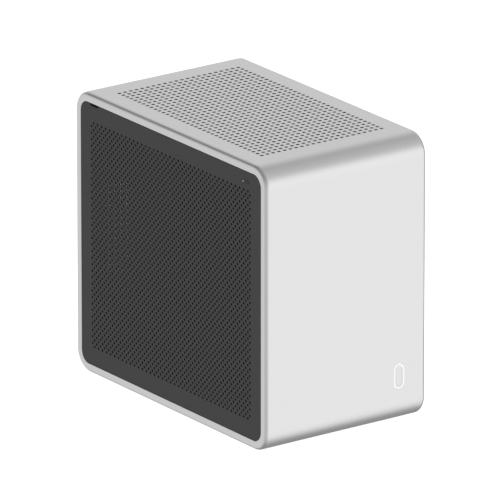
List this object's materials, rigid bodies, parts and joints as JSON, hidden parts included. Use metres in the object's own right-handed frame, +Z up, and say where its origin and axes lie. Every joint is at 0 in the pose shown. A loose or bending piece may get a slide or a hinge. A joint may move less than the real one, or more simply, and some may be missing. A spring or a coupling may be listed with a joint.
{
  "type": "desktop computer tower",
  "caption": "Compact desktop computer tower: aluminium sleeve case with dark pull-off perforated side panels, lit power button and a complete computer inside.",
  "frame": {"origin": "on the surface it stands on, under the middle of the case", "axes": "+Z up; the front, with the power button, faces -Y; the side panels face -X and +X; ports at the rear, +Y"},
  "size_m": [0.1686, 0.283, 0.2594],
  "materials": {
    "shell_aluminium": "bead-blasted, anodised",
    "panel_coat": "matt powder coat",
    "chassis_steel": "satin black coat",
    "zinc_plate": "zinc plated",
    "bare_aluminium": "milled",
    "copper": "satin, tarnish-free",
    "black_plastic": "fine spark texture",
    "grey_plastic": "satin",
    "light_guide": "clear white, lit",
    "circuit_board": "solder mask over copper",
    "foot_rubber": "moulded",
    "cable_sheath": "satin sheath"
  },
  "bodies": {
    "chassis": {"outer_shell": "shell_aluminium", "left_frame": "chassis_steel", "right_frame": "chassis_steel", "rear_panel": "chassis_steel", "motherboard_tray": "chassis_steel", "top_fan_bracket": "chassis_steel", "psu_bracket": "chassis_steel", "psu_case": "chassis_steel", "foot_front_left": "foot_rubber", "foot_rear_left": "foot_rubber", "foot_front_right": "foot_rubber", "foot_rear_right": "foot_rubber", "button_light_ring": "light_guide", "button_housing": "black_plastic", "pcie_slot": "black_plastic", "dimm_slot_1": "black_plastic", "dimm_slot_2": "black_plastic", "cpu_fan_frame": "black_plastic", "top_fan_front_frame": "black_plastic", "top_fan_rear_frame": "black_plastic", "gpu_shroud": "black_plastic", "ac_inlet": "black_plastic", "ac_plug": "black_plastic", "thumb_screw_upper": "black_plastic", "thumb_screw_lower": "black_plastic", "audio_jacks": "black_plastic", "ram_module_1": "grey_plastic", "ram_module_2": "grey_plastic", "gpu_backplate": "grey_plastic", "switch_board": "circuit_board", "motherboard": "circuit_board", "gpu_board": "circuit_board", "display_ports": "zinc_plate", "usb_ports": "zinc_plate", "network_jack": "zinc_plate", "io_shield": "zinc_plate", "gpu_bracket": "zinc_plate", "cpu_socket": "zinc_plate", "cpu": "zinc_plate", "cooler_base": "copper", "cooler_fins": "bare_aluminium", "gpu_heatsink": "bare_aluminium", "ssd_heatsink": "bare_aluminium", "vrm_heatsink": "bare_aluminium", "ac_lead": "cable_sheath", "atx_cable": "cable_sheath", "gpu_cable": "cable_sheath", "front_panel_cable": "cable_sheath"},
    "left_side_panel": {"left_side_panel": "panel_coat"},
    "right_side_panel": {"right_side_panel": "panel_coat"},
    "power_button": {"power_button": "shell_aluminium"},
    "cpu_fan_rotor": {"cpu_fan_rotor": "black_plastic"},
    "top_fan_front_rotor": {"top_fan_front_rotor": "black_plastic"},
    "top_fan_rear_rotor": {"top_fan_rear_rotor": "black_plastic"},
    "gpu_fan_front": {"gpu_fan_front": "black_plastic"},
    "gpu_fan_rear": {"gpu_fan_rear": "black_plastic"},
    "psu_fan_rotor": {"psu_fan_rotor": "black_plastic"},
    "power_rocker": {"power_rocker": "black_plastic"},
    "dimm_latch_1": {"dimm_latch_1": "grey_plastic"},
    "dimm_latch_2": {"dimm_latch_2": "grey_plastic"}
  },
  "joints": [
    {"name": "left_panel_pull", "type": "slide", "parent": "chassis", "child": "left_side_panel", "axis": [-1, 0, 0], "range_m": [0, 0.08]},
    {"name": "right_panel_pull", "type": "slide", "parent": "chassis", "child": "right_side_panel", "axis": [1, 0, 0], "range_m": [0, 0.08]},
    {"name": "power_button_press", "type": "slide", "parent": "chassis", "child": "power_button", "axis": [0, 1, 0], "range_m": [0, 0.001], "stiffness_N_per_m": 600, "springref_m": -0.0006},
    {"name": "cpu_fan_spin", "type": "hinge", "parent": "chassis", "child": "cpu_fan_rotor", "pos_m": [-0.03205, 0.058, 0.151], "axis": [-1, 0, 0], "continuous": true},
    {"name": "top_fan_front_spin", "type": "hinge", "parent": "chassis", "child": "top_fan_front_rotor", "pos_m": [0, -0.0615, 0.25], "axis": [0, 0, 1], "continuous": true},
    {"name": "top_fan_rear_spin", "type": "hinge", "parent": "chassis", "child": "top_fan_rear_rotor", "pos_m": [0, 0.0615, 0.25], "axis": [0, 0, 1], "continuous": true},
    {"name": "gpu_fan_front_spin", "type": "hinge", "parent": "chassis", "child": "gpu_fan_front", "pos_m": [-0.0076, -0.03775, 0.03], "axis": [0, 0, 1], "continuous": true},
    {"name": "gpu_fan_rear_spin", "type": "hinge", "parent": "chassis", "child": "gpu_fan_rear", "pos_m": [-0.0076, 0.06675, 0.03], "axis": [0, 0, 1], "continuous": true},
    {"name": "psu_fan_spin", "type": "hinge", "parent": "chassis", "child": "psu_fan_rotor", "pos_m": [0, -0.08, 0.142], "axis": [0, 1, 0], "continuous": true},
    {"name": "power_rocker_tilt", "type": "hinge", "parent": "chassis", "child": "power_rocker", "pos_m": [-0.04795, 0.1358, 0.1945], "axis": [1, 0, 0], "range_deg": [-16, 0]},
    {"name": "dimm_latch_1_open", "type": "hinge", "parent": "chassis", "child": "dimm_latch_1", "pos_m": [0.05405, -0.0185, 0.2139], "axis": [0, 1, 0], "range_deg": [0, 30]},
    {"name": "dimm_latch_2_open", "type": "hinge", "parent": "chassis", "child": "dimm_latch_2", "pos_m": [0.05405, -0.0088, 0.2139], "axis": [0, 1, 0], "range_deg": [0, 30]}
  ]
}
